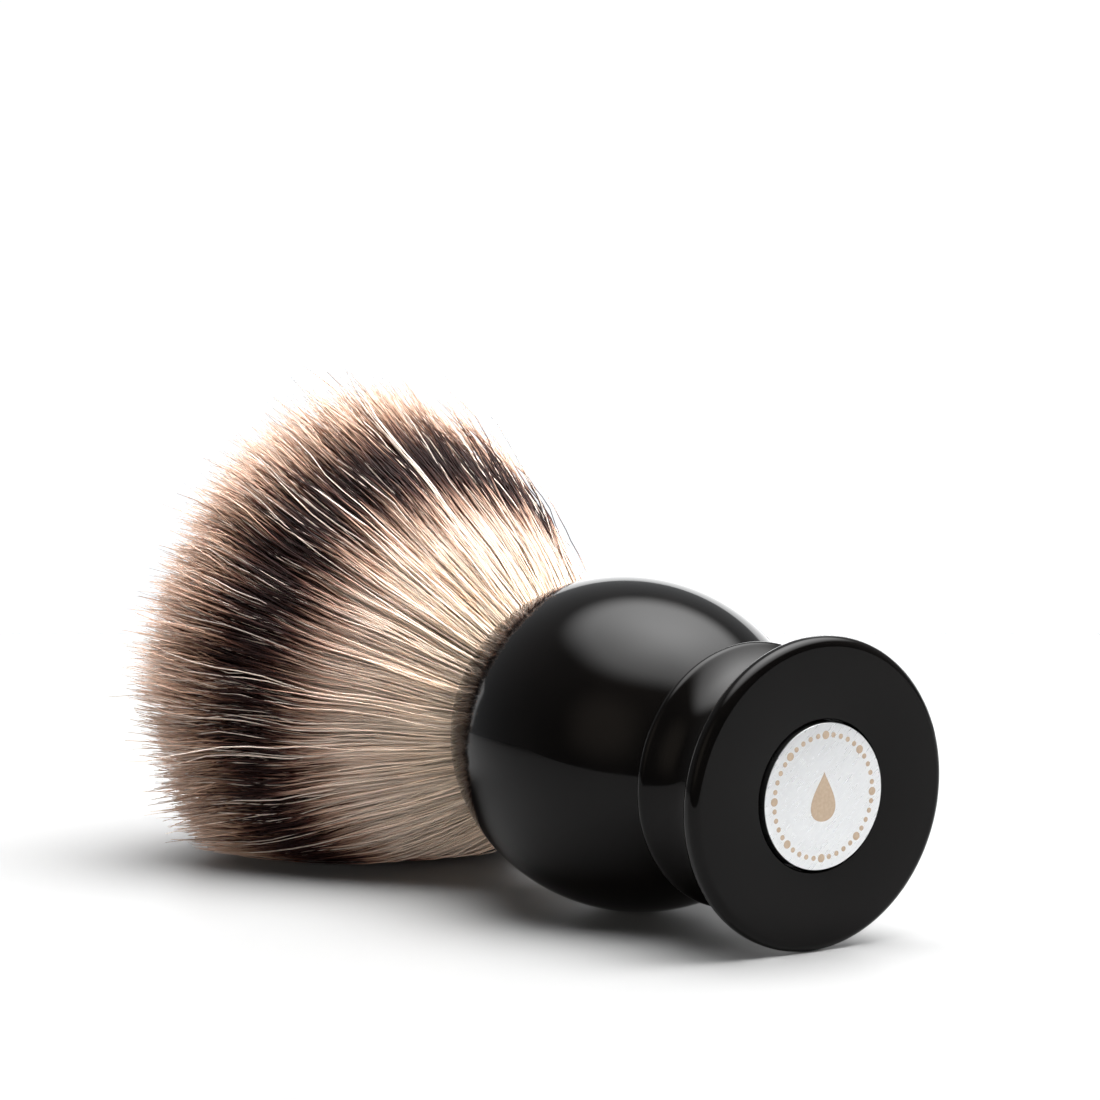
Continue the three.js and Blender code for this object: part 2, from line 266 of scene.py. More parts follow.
def handle_outline():
    barrel_foot = FOOT_FACE + FLANGE_FRONT_ROUNDING
    barrel_top = barrel_foot + FLANGE_BARREL
    front_rounding_centre = FLANGE_RADIUS - FLANGE_FRONT_ROUNDING
    cove_start = (FLANGE_RADIUS - FLANGE_BACK_ROUNDING, barrel_top + FLANGE_BACK_ROUNDING)
    cove_floor = (COVE_RADIUS, COVE_HEIGHT)
    bead_centre = RING_RADIUS - RING_BEAD
    bead = arc(bead_centre, RING_HEIGHT, RING_BEAD, RING_BEAD, RING_BEAD_START, math.pi / 2, 20)
    ring_foot = bead[0]
    ring_approach = (ring_foot[0] + RING_SWEEP * math.sin(RING_BEAD_START),
                     ring_foot[1] - RING_SWEEP * math.cos(RING_BEAD_START))
    groove = bead[-1]
    foot_angle = -math.asin((BULB_HEIGHT - GROOVE_HEIGHT) / BULB_LOWER_SEMI_AXIS)
    shoulder_angle = math.asin((SHOULDER_HEIGHT - BULB_HEIGHT) / BULB_UPPER_SEMI_AXIS)
    lower_bulb = arc(0, BULB_HEIGHT, BULB_RADIUS, BULB_LOWER_SEMI_AXIS, foot_angle, 0, 48)
    upper_bulb = arc(0, BULB_HEIGHT, BULB_RADIUS, BULB_UPPER_SEMI_AXIS, 0, shoulder_angle, 40)
    foot = lower_bulb[0]
    slope = (Vector(lower_bulb[1]) - Vector(foot)).normalized() * GROOVE_SWEEP
    return [
        (0, RECESS_CEILING),
        (RECESS_RADIUS, RECESS_CEILING),
        *arc(RECESS_RADIUS + RECESS_EDGE, FOOT_FACE + RECESS_EDGE, RECESS_EDGE, RECESS_EDGE,
             math.pi, 1.5 * math.pi, 4),
        *arc(front_rounding_centre, barrel_foot, FLANGE_FRONT_ROUNDING, FLANGE_FRONT_ROUNDING,
             -math.pi / 2, 0, 14),
        *arc(cove_start[0], barrel_top, FLANGE_BACK_ROUNDING, FLANGE_BACK_ROUNDING, 0, math.pi / 2, 14),
        *sweep(cove_start, (cove_start[0] - FLANGE_SWEEP, cove_start[1]),
               (COVE_RADIUS, COVE_HEIGHT - COVE_SWEEP), cove_floor, 20),
        *sweep(cove_floor, (COVE_RADIUS, COVE_HEIGHT + COVE_SWEEP), ring_approach, ring_foot, 20),
        *bead,
        *sweep(groove, (groove[0] - GROOVE_SWEEP, groove[1]),
               (foot[0] - slope[0], foot[1] - slope[1]), foot, 16),
        *lower_bulb,
        *upper_bulb,
        *lip(upper_bulb[-1]),
        (SOCKET_RADIUS, SOCKET_FLOOR),
        (INSERT_POCKET_RADIUS, SOCKET_FLOOR),
        (INSERT_POCKET_RADIUS, INSERT_POCKET_FLOOR),
        (RELIEF_RADIUS, INSERT_POCKET_FLOOR),
        (RELIEF_RADIUS, RELIEF_FLOOR),
        (0, RELIEF_FLOOR),
    ]


def lip(shoulder):
    """Rounded lip that leaves the shoulder smoothly and turns down into the socket."""
    rise = (shoulder[1] - BULB_HEIGHT) / BULB_UPPER_SEMI_AXIS**2
    normal = Vector((shoulder[0] / BULB_RADIUS**2, rise)).normalized()
    rounding = (shoulder[0] - SOCKET_RADIUS) / (1 + normal[0])
    centre = Vector(shoulder) - normal * rounding
    return arc(centre[0], centre[1], rounding, rounding, math.atan2(normal[1], normal[0]), math.pi, 14)


# --- Materials ------------------------------------------------------------------------------------------


class Nodes:
    """Short names for building one material's nodes."""

    def __init__(self, name):
        self.material = bpy.data.materials.new(name)
        self.material.use_nodes = True
        self.tree = self.material.node_tree
        self.shader = self.tree.nodes["Principled BSDF"]

    def add(self, kind, **settings):
        node = self.tree.nodes.new(kind)
        for key, value in settings.items():
            setattr(node, key, value)
        return node

    def link(self, source, target):
        self.tree.links.new(source, target)

    def noise(self, vector, scale, detail=3.0, roughness=0.5):
        node = self.add("ShaderNodeTexNoise")
        self.link(vector, node.inputs["Vector"])
        node.inputs["Scale"].default_value = scale
        node.inputs["Detail"].default_value = detail
        node.inputs["Roughness"].default_value = roughness
        return node.outputs["Fac"]

    def span(self, value, low, high, from_low=0.0, from_high=1.0):
        node = self.add("ShaderNodeMapRange")
        self.link(value, node.inputs["Value"])
        node.inputs["From Min"].default_value = from_low
        node.inputs["From Max"].default_value = from_high
        node.inputs["To Min"].default_value = low
        node.inputs["To Max"].default_value = high
        return node.outputs["Result"]

    def math(self, operation, a, b=0.0):
        node = self.add("ShaderNodeMath", operation=operation)
        for socket, value in zip(node.inputs, (a, b)):
            if isinstance(value, (int, float)):
                socket.default_value = value
            else:
                self.link(value, socket)
        return node.outputs["Value"]

    def ramp(self, value, stops):
        node = self.add("ShaderNodeValToRGB")
        self.link(value, node.inputs["Fac"])
        elements = node.color_ramp.elements
        while len(elements) < len(stops):
            elements.new(0.5)
        for element, (position, colour) in zip(elements, stops):
            element.position = position
            element.color = (*colour, 1)
        return node.outputs["Color"]

    def bump(self, height, distance, strength=1.0):
        node = self.add("ShaderNodeBump")
        self.link(height, node.inputs["Height"])
        node.inputs["Distance"].default_value = distance
        node.inputs["Strength"].default_value = strength
        self.link(node.outputs["Normal"], self.shader.inputs["Normal"])

    def object_coordinates(self, stretch=(1, 1, 1)):
        coordinates = self.add("ShaderNodeTexCoord")
        mapping = self.add("ShaderNodeMapping")
        mapping.inputs["Scale"].default_value = stretch
        self.link(coordinates.outputs["Object"], mapping.inputs["Vector"])
        return mapping.outputs["Vector"]

    def finish(self, **values):
        names = {"metallic": "Metallic", "ior": "IOR", "specular": "Specular IOR Level"}
        for key, value in values.items():
            self.shader.inputs[names[key]].default_value = value
        return self.material


def resin_material():
    """Polished black resin: faint cloudiness, fine polishing marks round the axis and a little haze."""
    n = Nodes("black_resin")
    place = n.object_coordinates()
    cloud = n.noise(place, 90, 4)
    n.link(n.ramp(cloud, [(0.35, (0.0011, 0.0009, 0.0008)), (0.7, (0.0021, 0.0017, 0.0015))]),
           n.shader.inputs["Base Color"])
    haze = n.noise(place, 260, 5, 0.6)
    n.link(n.span(haze, 0.04, 0.10, 0.3, 0.7), n.shader.inputs["Roughness"])
    marks = n.noise(n.object_coordinates((1, 1, 60)), 400, 2)
    n.bump(marks, 0.4e-6, 0.5)
    return n.finish(ior=1.5, specular=0.14)


def medallion_material():
    """Satin aluminium with faint streaks in one direction; its side wall is painted near black, as shade
    round the disc.
    """
    n = Nodes("medallion_metal")
    streaks = n.noise(n.object_coordinates((1, 14, 1)), 420, 4, 0.6)
    face = n.ramp(streaks, [(0.3, (0.70, 0.71, 0.725)), (0.7, (0.77, 0.78, 0.785))])
    split = n.add("ShaderNodeSeparateXYZ")
    n.link(n.add("ShaderNodeTexCoord").outputs["Normal"], split.inputs["Vector"])
    # Painted shade: where the surface turns from the face to the side wall, the metal colour gives way to
    # near black.
    painted_edge_shade = n.add("ShaderNodeMix", data_type="RGBA")
    n.link(n.span(n.math("ABSOLUTE", split.outputs["Z"]), 0, 1, 0.5, 0.9), painted_edge_shade.inputs["Factor"])
    painted_edge_shade.inputs["A"].default_value = (0.05, 0.05, 0.05, 1)
    n.link(face, painted_edge_shade.inputs["B"])
    n.link(painted_edge_shade.outputs["Result"], n.shader.inputs["Base Color"])
    n.link(n.span(streaks, 0.22, 0.36), n.shader.inputs["Roughness"])
    n.bump(streaks, 2e-6, 0.4)
    return n.finish(metallic=0.85)


def print_material():
    """Matte taupe ink."""
    n = Nodes("medallion_print")
    grain = n.noise(n.object_coordinates(), 2500, 3)
    ink = n.ramp(grain, [(0.3, (0.36, 0.27, 0.19)), (0.7, (0.44, 0.34, 0.25))])
    n.link(ink, n.shader.inputs["Base Color"])
    n.link(n.span(grain, 0.4, 0.6), n.shader.inputs["Roughness"])
    return n.finish()


def plain_material(name, dark, light, scale, roughness, bump_distance, metallic=0.0, specular=0.5):
    """Material of an inner piece: mottled colour, uneven gloss and a fine surface texture."""
    n = Nodes(name)
    grain = n.noise(n.object_coordinates(), scale, 4)
    n.link(n.ramp(grain, [(0.3, dark), (0.7, light)]), n.shader.inputs["Base Color"])
    n.link(n.span(grain, roughness[0], roughness[1], 0.3, 0.7), n.shader.inputs["Roughness"])
    n.bump(grain, bump_distance, 0.6)
    return n.finish(metallic=metallic, specular=specular)


# --- Tuft -----------------------------------------------------------------------------------------------


def unit(vectors):
    return vectors / np.linalg.norm(vectors, axis=-1, keepdims=True)


def dome():
    """Radius and height along the tuft's dome, from middle to edge, and the area share inside each."""
    tip, edge = (0, TIP_HEIGHT), (FLARE_RADIUS, FLARE_HEIGHT)
    flat_end = (DOME_FULLNESS * FLARE_RADIUS, TIP_HEIGHT)
    steep_end = (FLARE_RADIUS + DOME_BULGE, FLARE_HEIGHT + DOME_RISE)
    curve = sweep(tip, flat_end, steep_end, edge, 200)
    radius, height = np.array(curve).T
    rings = (radius[1:] + radius[:-1]) * np.hypot(np.diff(radius), np.diff(height))
    share = np.concatenate(([0], np.cumsum(rings)))
    return radius, height, share / share[-1]


def free_paths(fraction, angle):
    """Paths of unpressed fibres; fraction is 0 in the middle of the knot and 1 at its edge."""
    q = fraction[:, None]
    dome_radius, dome_height, share = dome()
    tip = np.stack((np.interp(q**2, share, dome_radius), np.interp(q**2, share, dome_height)))
    mouth = np.stack((TUFT_MOUTH_RADIUS * q, np.full_like(q, MOUTH_HEIGHT)))
    across, along = tip - mouth
    length = np.hypot(across, along)
    lean = np.arctan2(across, along)
    leaving = np.stack((np.sin(lean * LEAN_AT_MOUTH), np.cos(lean * LEAN_AT_MOUTH)))
    arriving = np.stack((np.sin(lean * LEAN_AT_TIP), np.cos(lean * LEAN_AT_TIP)))
    t = LEVELS[None, 1:]
    curve = (mouth * (1 - t) ** 3 + 3 * (mouth + leaving * length * BEND_SHARE) * t * (1 - t) ** 2
             + 3 * (tip - arriving * length * BEND_SHARE) * t**2 * (1 - t) + tip * t**3)
    root = mouth - leaving * length * ROOT_SHARE
    radius, height = np.concatenate((root, curve), axis=-1)
    return np.stack((radius * np.cos(angle)[:, None], radius * np.sin(angle)[:, None], height), axis=-1)


def flow(points, wavelength, amplitude):
    """Smooth wandering shared by neighbouring fibres."""
    shift = np.zeros_like(points)
    for _ in range(FLOW_WAVES):
        wave = unit(RNG.normal(size=3)) * 2 * math.pi / (wavelength * RNG.uniform(0.6, 1.6))
        direction = unit(RNG.normal(size=3)) * np.array((1, 1, 0.3))
        shift += np.sin(points @ wave + RNG.uniform(0, 2 * math.pi))[..., None] * direction
    return shift * amplitude / math.sqrt(FLOW_WAVES)


def settle(paths, t):
    """The lying tuft swells upwards, draws in sideways and leans a little towards its near side."""
    normal, across = np.array(FLOOR_NORMAL), np.array(ACROSS_FLOOR)
    height = (paths @ normal + FLOOR_OFFSET)[..., None]
    sideways = (paths @ across)[..., None]
    inwards = sideways * DRAW_IN * t + NEAR_SIDE_LEAN * t**1.5
    return paths + normal * height * SWELL * t**1.5 - across * inwards


def press_on_floor(paths):
    """Bends the fibres that would reach below the floor up onto it, and slides their tips along it."""
    normal = np.array(FLOOR_NORMAL)
    height = paths @ normal + FLOOR_OFFSET
    margin = RNG.gamma(1.5, FLOOR_LAYER, size=(len(paths), 1)) + FLOOR_GAP
    lift = FLOOR_BEND * np.logaddexp(0, (margin - height) / FLOOR_BEND)
    return paths + lift[..., None] * (normal + FLOOR_SLIDE * np.array(ALONG_FLOOR))


def gather_locks(paths, t):
    """Pulls each fibre a little towards the guide fibre whose tip is nearest to its own."""
    guides = RNG.choice(STRANDS, GUIDES, replace=False)
    tips = paths[:, -1]
    nearest = np.concatenate([
        np.argmin(((block[:, None] - tips[guides][None]) ** 2).sum(-1), axis=1)
        for block in np.array_split(tips, 40)
    ])
    pull = RNG.uniform(0.0, LOCK_PULL, (STRANDS, 1, 1)) * t**1.6
    return paths + (paths[guides][nearest] - paths) * pull


def ruffle(paths, t):
    """Gives each fibre its own drift, bow and crimp."""
    each = (STRANDS, 1, 1)
    stray = np.where(RNG.uniform(0, 1, each) < STRAY_SHARE, STRAY_FACTOR, 1.0)
    wander = RNG.normal(0, 1, (STRANDS, 1, 3)) * t * WANDER * stray
    bow = RNG.normal(0, 1, (STRANDS, 1, 3)) * np.sin(math.pi * t) * BOW * stray
    crimp = np.zeros_like(paths)
    for waves, size in CRIMPS:
        turns = RNG.uniform(0.7, 1.3, each) * waves * t + RNG.uniform(0, 1, each)
        crimp += unit(RNG.normal(size=(STRANDS, 1, 3))) * np.sin(2 * math.pi * turns) * t**0.6 * size
    return paths + wander + bow + crimp


def fibre_paths():
    fraction = np.sqrt(RNG.uniform(0, 1, STRANDS))
    angle = RNG.uniform(0, 2 * math.pi, STRANDS)
    paths = free_paths(fraction, angle)
    t = np.clip(LEVELS, 0, 1)[None, :, None]
    foot = paths[:, :1]
    each = (STRANDS, 1, 1)
    stretch = 1 + RNG.normal(0, LENGTH_SPREAD, each) + RNG.exponential(LONG_SHARE, each)
    paths = foot + (paths - foot) * stretch
    paths = gather_locks(paths, t)
    for wavelength, size in (BROAD_FLOW, FINE_FLOW):
        paths = paths + flow(paths, wavelength, size) * t
    return press_on_floor(settle(ruffle(paths, t), t))


def strand_mesh(name, paths, columns, material):
    """One mesh of closed, tapered, three-sided fibres; its map gives their colour column and level."""
    count, points, _ = paths.shape
    sides = 3
    thickness = FIBRE_RADIUS * np.interp(LEVELS, *TAPER)
    thickness = thickness[None, :] * RNG.uniform(0.65, 1.25, (count, 1))
    along = unit(np.gradient(paths, axis=1))
    turn = RNG.uniform(0, 2 * math.pi, (count, 1))
    level = np.stack((np.cos(turn), np.sin(turn), np.zeros_like(turn)), axis=-1)
    side = unit(np.cross(along, np.broadcast_to(level, along.shape)))
    other = np.cross(along, side)
    corner = np.arange(sides) * 2 * math.pi / sides
    ring = np.cos(corner)[:, None] * side[:, :, None] + np.sin(corner)[:, None] * other[:, :, None]
    vertices = (paths[:, :, None] + ring * thickness[:, :, None, None]).reshape(-1, 3)

    start = (np.arange(count) * points * sides)[:, None, None]
    row = (np.arange(points - 1) * sides)[None, :, None]
    here = np.arange(sides)[None, None, :]
    after = (here + 1) % sides
    low = start + row
    high = low + sides
    quads = np.stack((low + here, low + after, high + after, high + here), axis=-1).reshape(-1)
    root = start[:, 0]
    tip = root + (points - 1) * sides
    caps = np.concatenate((root + np.array([[2, 1, 0]]), tip + np.array([[0, 1, 2]])))
    corners = np.concatenate((quads, caps.reshape(-1)))

    mesh = bpy.data.meshes.new(name)
    mesh.vertices.add(len(vertices))
    mesh.vertices.foreach_set("co", vertices.reshape(-1))
    mesh.loops.add(len(corners))
    mesh.loops.foreach_set("vertex_index", corners)
    quad_count, cap_count = len(quads) // 4, len(caps)
    starts = np.concatenate((np.arange(quad_count) * 4, quad_count * 4 + np.arange(cap_count) * 3))
    mesh.polygons.add(len(starts))
    mesh.polygons.foreach_set("loop_start", starts)
    mesh.update(calc_edges=True)
    mesh.shade_smooth()

    strand = corners // (points * sides)
    level = (LEVELS[(corners % (points * sides)) // sides] + ROOT_SHARE) / (1 + ROOT_SHARE)
    layer = mesh.uv_layers.new(name="OFBake")
    uv = np.stack(((columns[strand] + 0.5) / COLUMNS, 0.002 + 0.996 * level), axis=-1)
    layer.data.foreach_set("uv", uv.reshape(-1).astype(np.float32))
    mesh.materials.append(material)
    mesh.validate()
    obj = bpy.data.objects.new(name, mesh)
    bpy.context.scene.collection.objects.link(obj)
    return obj


def fibre_material():
    """Cream fibre with a dark band before a pale tip; each column of the map has its own band and tone.

    About one fibre in ten has no band. Near the mouth all fibres are painted darker, as shade. Some light
    passes through the fibres.
    """
    n = Nodes("fibre")
    place = n.add("ShaderNodeUVMap", uv_map="OFBake")
    split = n.add("ShaderNodeSeparateXYZ")
    n.link(place.outputs["UV"], split.inputs["Vector"])
    column = n.math("FLOOR", n.math("MULTIPLY", split.outputs["X"], COLUMNS))
    chance = n.add("ShaderNodeTexWhiteNoise", noise_dimensions="1D")
    n.link(column, chance.inputs["W"])
    parts = n.add("ShaderNodeSeparateColor")
    n.link(chance.outputs["Color"], parts.inputs["Color"])
    level = n.span(split.outputs["Y"], -ROOT_SHARE, 1)
    shifted = n.math("ADD", level, n.span(parts.outputs["Red"], -0.055, 0.055))
    banded = n.ramp(shifted, [
        # Darker where the fibres leave the handle: painted shade at the mouth.
        (0.04, (0.55, 0.43, 0.33)),
        (0.12, (0.95, 0.79, 0.64)),
        (0.38, (0.98, 0.82, 0.70)),
        (0.49, (0.60, 0.39, 0.29)),
        (0.56, (0.11, 0.045, 0.034)),
        (0.61, (0.024, 0.010, 0.009)),
        (0.72, (0.024, 0.010, 0.009)),
        (0.79, (0.13, 0.057, 0.041)),
        (0.85, (0.50, 0.315, 0.22)),
        (0.91, (0.76, 0.54, 0.415)),
        (1.0, (0.83, 0.63, 0.52)),
    ])
    plain = n.math("GREATER_THAN", parts.outputs["Green"], 0.89)
    unbanded = n.ramp(level, [
        # Also darker near the mouth: painted shade.
        (0.04, (0.6, 0.48, 0.38)),
        (0.12, (0.96, 0.82, 0.70)),
        (1.0, (0.98, 0.86, 0.78)),
    ])
    choice = n.add("ShaderNodeMix", data_type="RGBA")
    n.link(plain, choice.inputs["Factor"])
    n.link(banded, choice.inputs["A"])
    n.link(unbanded, choice.inputs["B"])
    tone = n.add("ShaderNodeHueSaturation")
    n.link(choice.outputs["Result"], tone.inputs["Color"])
    n.link(n.span(parts.outputs["Blue"], 0.62, 1.12), tone.inputs["Value"])
    n.link(tone.outputs["Color"], n.shader.inputs["Base Color"])
    n.link(n.span(parts.outputs["Blue"], 0.32, 0.5), n.shader.inputs["Roughness"])
    n.bump(n.noise(n.object_coordinates(), 9000, 1), 4e-6, 0.4)
    through = n.add("ShaderNodeBsdfTranslucent")
    n.link(tone.outputs["Color"], through.inputs["Color"])
    mix = n.add("ShaderNodeMixShader")
    mix.inputs["Fac"].default_value = 0.32
    n.link(n.shader.outputs["BSDF"], mix.inputs[1])
    n.link(through.outputs["BSDF"], mix.inputs[2])
    n.link(mix.outputs["Shader"], n.tree.nodes["Material Output"].inputs["Surface"])
    return n.finish(ior=1.5, specular=0.18)


def make_tuft():
    paths = fibre_paths()
    columns = RNG.integers(0, COLUMNS, STRANDS)
    material = fibre_material()
    for index, first in enumerate(range(0, STRANDS, STRANDS_PER_PIECE)):
        chosen = slice(first, first + STRANDS_PER_PIECE)
        piece = strand_mesh(f"fibres_{index + 1}", paths[chosen], columns[chosen], material)
        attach(piece, "head")
        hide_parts("fibre_knot")


# --- Handle and medallion -------------------------------------------------------------------------------


def make_handle():
    handle = turned("handle_polished", handle_outline())
    handle.data.materials.append(resin_material())
    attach(handle, "handle")
    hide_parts("handle_body")


def make_medallion():
    edge = MEDALLION_EDGE
    low, high = MEDALLION_LOW[2] + PRINT_THICKNESS / 2, MEDALLION_HIGH[2]
    outline = [
        (0, low),
        *arc(MEDALLION_RADIUS - edge, low + edge, edge, edge, -math.pi / 2, 0, 6),
        *arc(MEDALLION_RADIUS - edge, high - edge, edge, edge, 0, math.pi / 2, 6),
        (0, high),
    ]
    medallion = turned("medallion_disc", outline)
    medallion.data.materials.append(medallion_material())
    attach(medallion, "handle")
    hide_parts("base_medallion")


def slab(outline):
    """Vertices and faces of a thin flat piece of the print, from its outline."""
    count = len(outline)
    foot = MEDALLION_LOW[2]
    vertices = [(x, y, z) for z in (foot, foot + PRINT_THICKNESS) for x, y in outline]
    sides = [(i, (i + 1) % count, (i + 1) % count + count, i + count) for i in range(count)]
    return vertices, [tuple(range(count))[::-1], tuple(range(count, 2 * count)), *sides]


def circle(x, y, radius, points):
    angles = np.arange(points) * 2 * math.pi / points
    return [(x + radius * math.cos(a), y + radius * math.sin(a)) for a in angles]


def drop_outline():
    """A water drop, pointing to the upper side of the lying brush."""
    up = UPPER_SIDE.to_2d()
    side = up.orthogonal()
    points = []
    for a in np.arange(48) * 2 * math.pi / 48:
        along = math.cos(a) * DROP_HEIGHT / 2
        across = math.sin(a) * math.sin(a / 2) ** 1.5 * DROP_RADIUS * 1.3
        points.append(tuple(up * along + side * across))
    return points


def make_print():
    """Generic printed motif: a ring of dots round a water drop."""
    outlines = [drop_outline()]
    for i, (x, y) in enumerate(circle(0, 0, PRINT_RING_RADIUS, PRINT_DOTS)):
        radius = PRINT_DOT_RADIUS if i % PRINT_LARGE_DOT_EVERY else PRINT_LARGE_DOT_RADIUS
        outlines.append(circle(x, y, radius, 16))
    vertices, faces = [], []
    for outline in outlines:
        slab_vertices, slab_faces = slab(outline)
        faces += [tuple(v + len(vertices) for v in face) for face in slab_faces]
        vertices += slab_vertices
    motif = mesh_object("medallion_print", vertices, faces)
    motif.data.materials.append(print_material())
    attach(motif, "handle")
    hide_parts("base_medallion")


# --- Inner pieces ---------------------------------------------------------------------------------------


def cut_thread(wall_radius, depth, foot, top):
    """Reshapes a turned wall into a smooth right-hand thread that fades out at foot and top."""
    def reshape(radius, height, angle):
        if abs(radius - wall_radius) > 1e-6 or not foot < height < top:
            return radius
        wave = 0.5 + 0.5 * math.cos(2 * math.pi * height / THREAD_PITCH - angle)
        ends = min(1, min(height - foot, top - height) / (THREAD_PITCH / 2))
        return radius + depth * wave * ends * ends * (3 - 2 * ends)
    return reshape


def thread_wall(radius, start, end):
    """A straight stretch of an outline with 24 steps for each turn of the thread."""
    steps = round(abs(end - start) / THREAD_PITCH * 24)
    return [(radius, height) for height in np.linspace(start, end, steps + 1)]


def make_collar():
    outer = COLLAR_RADIUS - COLLAR_WALL / 2
    outline = [
        (0, STEM_TIP_HEIGHT),
        (STEM_ROOT_RADIUS - CHAMFER, STEM_TIP_HEIGHT),
        *thread_wall(STEM_ROOT_RADIUS, STEM_TIP_HEIGHT + CHAMFER, INSERT_TOP),
        (STEM_ROOT_RADIUS, COLLAR_FOOT),
        (COLLAR_RADIUS - CHAMFER, COLLAR_FOOT),
        (COLLAR_RADIUS, COLLAR_FOOT + CHAMFER),
        *arc(outer, MOUTH_HEIGHT - COLLAR_WALL / 2, COLLAR_WALL / 2, COLLAR_WALL / 2, 0, math.pi, 12),
        (COLLAR_RADIUS - COLLAR_WALL, CUP_FLOOR),
        (0, CUP_FLOOR),
    ]
    depth = STEM_CREST_RADIUS - STEM_ROOT_RADIUS
    thread = cut_thread(STEM_ROOT_RADIUS, depth, STEM_TIP_HEIGHT, INSERT_TOP + 0.3 * MM)
    collar = turned("collar_moulded", outline, 96, thread)
    collar.data.materials.append(plain_material(
        "moulded_collar", (0.008, 0.008, 0.0085), (0.015, 0.015, 0.016), 1200, (0.3, 0.42), 1e-5,
        specular=0.12))
    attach(collar, "head")
    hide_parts("head_collar")


def make_insert():
    groove = INSERT_RADIUS - INSERT_GROOVE_DEPTH
    band = (INSERT_TOP - INSERT_FOOT) / 5
    outline = [(NUT_CREST_RADIUS + CHAMFER, INSERT_FOOT), (INSERT_RADIUS, INSERT_FOOT)]
    for bands in (1, 3):
        low, high = INSERT_FOOT + bands * band, INSERT_FOOT + (bands + 1) * band
        outline += [(INSERT_RADIUS, low), (groove, low + INSERT_GROOVE_DEPTH),
                    (groove, high - INSERT_GROOVE_DEPTH), (INSERT_RADIUS, high)]
    outline += [
        (INSERT_RADIUS, INSERT_TOP),
        (NUT_ROOT_RADIUS, INSERT_TOP),
        *thread_wall(NUT_CREST_RADIUS, INSERT_TOP - COUNTERSINK, INSERT_FOOT + CHAMFER),
        (NUT_CREST_RADIUS + CHAMFER, INSERT_FOOT),
    ]
    depth = NUT_ROOT_RADIUS - NUT_CREST_RADIUS
    thread = cut_thread(NUT_CREST_RADIUS, depth, INSERT_FOOT, INSERT_TOP + THREAD_PITCH)
    insert = turned("insert_threaded", outline, 96, thread)
    insert.data.materials.append(plain_material(
        "brass", (0.50, 0.34, 0.13), (0.62, 0.44, 0.18), 500, (0.2, 0.4), 4e-6, metallic=1.0))
    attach(insert, "handle")
    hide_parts("threaded_insert")


def make_seal():
    low, high, outer = SEAL_LOW[2], SEAL_HIGH[2], SEAL_HIGH[0]
    middle = ((SEAL_INNER_RADIUS + outer) / 2, (low + high) / 2)
    section = arc(*middle, (outer - SEAL_INNER_RADIUS) / 2, (high - low) / 2, 0, 2 * math.pi, 24)
    section[-1] = section[0]
    seal = turned("seal_moulded", section, 96)
    seal.data.materials.append(plain_material(
        "seal_rubber", (0.012, 0.012, 0.012), (0.022, 0.022, 0.022), 900, (0.5, 0.75), 1e-5,
        specular=0.12))
    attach(seal, "seal")
    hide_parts("seal_ring")


def paint_inner_pieces():
    looks = {
        "medallion_adhesive": plain_material(
            "adhesive", (0.6, 0.55, 0.42), (0.75, 0.7, 0.55), 900, (0.5, 0.7), 1e-5),
        "potting_resin": plain_material(
            "potting", (0.22, 0.15, 0.07), (0.36, 0.27, 0.15), 600, (0.2, 0.4), 1e-5),
        "binding_thread": plain_material(
            "thread", (0.62, 0.56, 0.46), (0.8, 0.75, 0.65), 4000, (0.7, 0.9), 3e-5),
    }
    for node, material in looks.items():
        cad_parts[node].data.materials.clear()
        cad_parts[node].data.materials.append(material)


# --- Floor, light and camera ----------------------------------------------------------------------------


def plane(name, centre, right, up, half_width, half_height):
    corners = [centre + right * (sx * half_width) + up * (sy * half_height)
               for sx, sy in ((-1, -1), (1, -1), (1, 1), (-1, 1))]
    mesh = bpy.data.meshes.new(name)
    mesh.from_pydata([tuple(c) for c in corners], [], [(0, 1, 2, 3)])
    obj = bpy.data.objects.new(name, mesh)
    bpy.context.scene.collection.objects.link(obj)
    return obj


def one_sided_sheet(name, grey):
    """Pale satin floor sheet, seen from its upper side only."""
    n = Nodes(name)
    grain = n.noise(n.object_coordinates(), 12, 1)
    tone = n.ramp(grain, [(0.0, (grey * 0.97,) * 3), (1.0, (grey * 1.03,) * 3)])
    n.link(tone, n.shader.inputs["Base Color"])
    n.link(n.span(grain, 0.4, 0.5), n.shader.inputs["Roughness"])
    side = n.add("ShaderNodeNewGeometry")
    clear = n.add("ShaderNodeBsdfTransparent")
    mix = n.add("ShaderNodeMixShader")
    n.link(side.outputs["Backfacing"], mix.inputs["Fac"])
    n.link(n.shader.outputs["BSDF"], mix.inputs[1])
    n.link(clear.outputs["BSDF"], mix.inputs[2])
    n.link(mix.outputs["Shader"], n.tree.nodes["Material Output"].inputs["Surface"])
    return n.finish(specular=0.04)


def make_floors():
    """The floor that the brush lies on, and one that only the camera sees, under the standing brush."""
    lying = plane("floor_lying", seen_place(0, -FLOOR_OFFSET, 0.1), RIGHT, FORWARD, 1.0, 0.19)
    lying.data.materials.append(one_sided_sheet("floor_lying", 0.22))
    lying.visible_shadow = False  # lets the light from below through
    foot = Vector((0, 0, CAD_LOW[2] - 0.2 * MM))
    standing = plane("floor_standing", foot, Vector((1, 0, 0)), Vector((0, 1, 0)), 2, 2)
    standing.data.materials.append(one_sided_sheet("floor_standing", 0.5))
    for setting in ("visible_diffuse", "visible_glossy", "visible_transmission", "visible_shadow"):
        setattr(standing, setting, False)


